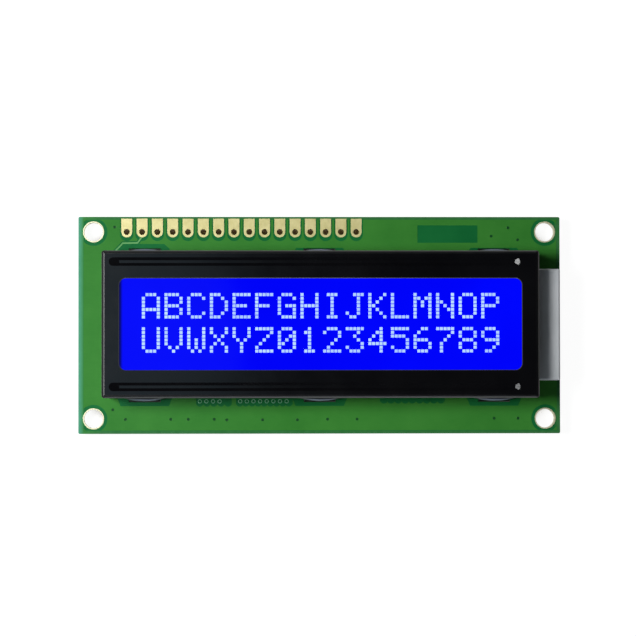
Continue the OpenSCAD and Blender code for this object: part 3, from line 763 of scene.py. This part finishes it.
def dots():
    """Every lit dot as a thin square tile with a small chamfer round its top."""
    z0, z1 = FILM_HIGH[2] - 0.01, FILM_HIGH[2] + 0.02
    half = DOT_SIZE / 2
    rings = ((z0, half), (z1 - DOT_CHAMFER_H, half), (z1, half - DOT_CHAMFER_W))
    verts, faces = [], []
    for x, y in dot_places():
        base = len(verts)
        for z, reach in rings:
            for sx, sy in ((-1, -1), (1, -1), (1, 1), (-1, 1)):
                verts.append(((x + sx * reach) * MM, (y + sy * reach) * MM, z * MM))
        for low in (base, base + 4):
            for i in range(4):
                j = (i + 1) % 4
                faces.append((low + i, low + j, low + 4 + j, low + 4 + i))
        faces.append((base + 3, base + 2, base + 1, base))
        faces.append((base + 8, base + 9, base + 10, base + 11))
    return piece("lit_character_dots", verts, faces, lit_white())


dots()

# ---------------------------------------------------------------- stage


# Painted shadow on the floor, by how much sky each spot sees: near black close under the object, a dull
# brown in between, painted in as the gold hole walls' light seen through the header holes, white in the
# open
CONTACT_SHADOW_AND_HOLE_REFLECTION = [
    (0.0, tone(8, 14, 8)), (0.08, tone(16, 18, 8)), (0.13, tone(58, 40, 14)),
    (0.17, tone(62, 46, 16)), (0.25, tone(236, 235, 232)), (0.3, tone(250, 250, 250)),
    (0.9, tone(250, 250, 250)),
]
SHADOW_REACH = 12


def studio_floor():
    """Pale floor: white to the camera and in reflections, with a painted shadow close under the object."""
    s = Shade("pale_floor")
    rays = s.add("ShaderNodeLightPath")
    seen = s.math("ADD", rays.outputs["Is Camera Ray"], rays.outputs["Is Glossy Ray"])
    seen = s.math("ADD", seen, rays.outputs["Is Transmission Ray"], clamp=True)
    hidden = s.add("ShaderNodeAmbientOcclusion", samples=48)
    hidden.inputs["Distance"].default_value = SHADOW_REACH * MM
    open_sky = s.ramp(hidden.outputs["AO"], CONTACT_SHADOW_AND_HOLE_REFLECTION)
    glow = s.add("ShaderNodeEmission")
    s.link(open_sky, glow.inputs["Color"])
    paper = s.add("ShaderNodeBsdfDiffuse")
    mottle = s.noise(60, detail=4)
    s.link(s.blend(mottle, tone(100, 100, 99), tone(106, 106, 105)), paper.inputs["Color"])
    shown = s.add("ShaderNodeAddShader")
    s.link(glow.outputs[0], shown.inputs[0])
    s.link(paper.outputs[0], shown.inputs[1])
    s.colour(s.blend(mottle, tone(226, 226, 225), tone(232, 232, 231)))
    choice = s.add("ShaderNodeMixShader")
    s.link(seen, choice.inputs[0])
    s.link(s.shader.outputs[0], choice.inputs[1])
    s.link(shown.outputs[0], choice.inputs[2])
    s.link(choice.outputs[0], s.out.inputs["Surface"])
    return s.mat


FLOOR_HALF = 2000
FLOOR_Z = -0.1
mesh = bpy.data.meshes.new("floor")
corners = rect(-FLOOR_HALF, -FLOOR_HALF, FLOOR_HALF, FLOOR_HALF)
mesh.from_pydata([(x * MM, y * MM, FLOOR_Z * MM) for x, y in corners], [], [(0, 1, 2, 3)])
mesh.materials.append(studio_floor())
floor = bpy.data.objects.new("floor", mesh)
bpy.context.scene.collection.objects.link(floor)

AMBIENT = 0.08
# Heights on the dome, 0 at the horizon and 1 overhead, where its white ends and its dark begins
WHITE_UP_TO, DARK_FROM = 0.1, 0.4


def studio_world():
    """White to the camera. Mirrors see a white horizon under a dark sky, surfaces a low light."""
    world = bpy.data.worlds.new("studio")
    world.use_nodes = True
    tree = world.node_tree
    tree.nodes.clear()
    out = tree.nodes.new("ShaderNodeOutputWorld")
    rays = tree.nodes.new("ShaderNodeLightPath")
    coords = tree.nodes.new("ShaderNodeTexCoord")
    parts = tree.nodes.new("ShaderNodeSeparateXYZ")
    tree.links.new(coords.outputs["Generated"], parts.inputs[0])
    dome = tree.nodes.new("ShaderNodeValToRGB")
    dome.color_ramp.elements[0].position = WHITE_UP_TO
    dome.color_ramp.elements[0].color = (1, 1, 1, 1)
    dome.color_ramp.elements[1].position = DARK_FROM
    dome.color_ramp.elements[1].color = (0.02, 0.02, 0.022, 1)
    tree.links.new(parts.outputs["Z"], dome.inputs["Fac"])
    mirrored = tree.nodes.new("ShaderNodeMath")
    mirrored.operation = "ADD"
    mirrored.use_clamp = True
    tree.links.new(rays.outputs["Is Glossy Ray"], mirrored.inputs[0])
    tree.links.new(rays.outputs["Is Transmission Ray"], mirrored.inputs[1])

    def background(strength, colour=None):
        node = tree.nodes.new("ShaderNodeBackground")
        node.inputs["Strength"].default_value = strength
        if colour:
            node.inputs["Color"].default_value = colour
        return node

    def choose(factor, otherwise, chosen):
        node = tree.nodes.new("ShaderNodeMixShader")
        tree.links.new(factor, node.inputs[0])
        tree.links.new(otherwise.outputs[0], node.inputs[1])
        tree.links.new(chosen.outputs[0], node.inputs[2])
        return node

    room = background(1.0)
    tree.links.new(dome.outputs["Color"], room.inputs["Color"])
    lit = choose(mirrored.outputs[0], background(AMBIENT, (0.93, 0.97, 1.0, 1)), room)
    seen = choose(rays.outputs["Is Camera Ray"], lit, background(1.0, (1, 1, 1, 1)))
    tree.links.new(seen.outputs[0], out.inputs["Surface"])
    bpy.context.scene.world = world


studio_world()


def lamp(name, place_mm, aim_mm, size_mm, watts, colour):
    """A round area lamp."""
    data = bpy.data.lights.new(name, "AREA")
    data.shape = "DISK"
    data.size = size_mm * MM
    data.energy = watts
    data.color = colour
    obj = bpy.data.objects.new(name, data)
    obj.location = Vector(place_mm) * MM
    obj.rotation_euler = (Vector(aim_mm) - Vector(place_mm)).to_track_quat("-Z", "Y").to_euler()
    bpy.context.scene.collection.objects.link(obj)


MIDDLE = (0, 0, 5)
lamp("key_light", (-160, 22, 230), MIDDLE, size_mm=128, watts=0.98, colour=(0.98, 0.99, 1.0))
lamp("sheen_light", (-62, 0, 262), (-62, 0, 0), size_mm=100, watts=0.011, colour=(0.55, 0.82, 1.0))
lamp("front_light", (0, -260, 72), MIDDLE, size_mm=90, watts=0.1, colour=(0.82, 0.9, 1.0))

# ---------------------------------------------------------------- camera

CAMERA_HEIGHT = 507
CAMERA = Vector((-14.9, -12.7, TOP + CAMERA_HEIGHT)) * MM
AIM = Vector((-0.27, 1.19, TOP)) * MM
ROLL = math.radians(-0.08)
SENSOR_W = 36
VIEW_W = 105.648
back_axis = (CAMERA - AIM).normalized()
right_axis = Vector((0, 1, 0)).cross(back_axis).normalized()
up_axis = back_axis.cross(right_axis)
axes = Matrix((right_axis, up_axis, back_axis)).transposed()
camera_data = bpy.data.cameras.new("camera")
camera_data.sensor_width = SENSOR_W
camera_data.lens = SENSOR_W * (CAMERA - AIM).length / (VIEW_W * MM)
camera_data.clip_start = 0.01
camera_data.clip_end = 20
camera = bpy.data.objects.new("camera", camera_data)
camera.matrix_world = Matrix.Translation(CAMERA) @ (axes @ Matrix.Rotation(ROLL, 3, "Z")).to_4x4()
bpy.context.scene.collection.objects.link(camera)
bpy.context.scene.camera = camera
bpy.context.scene.view_settings.view_transform = "Standard"
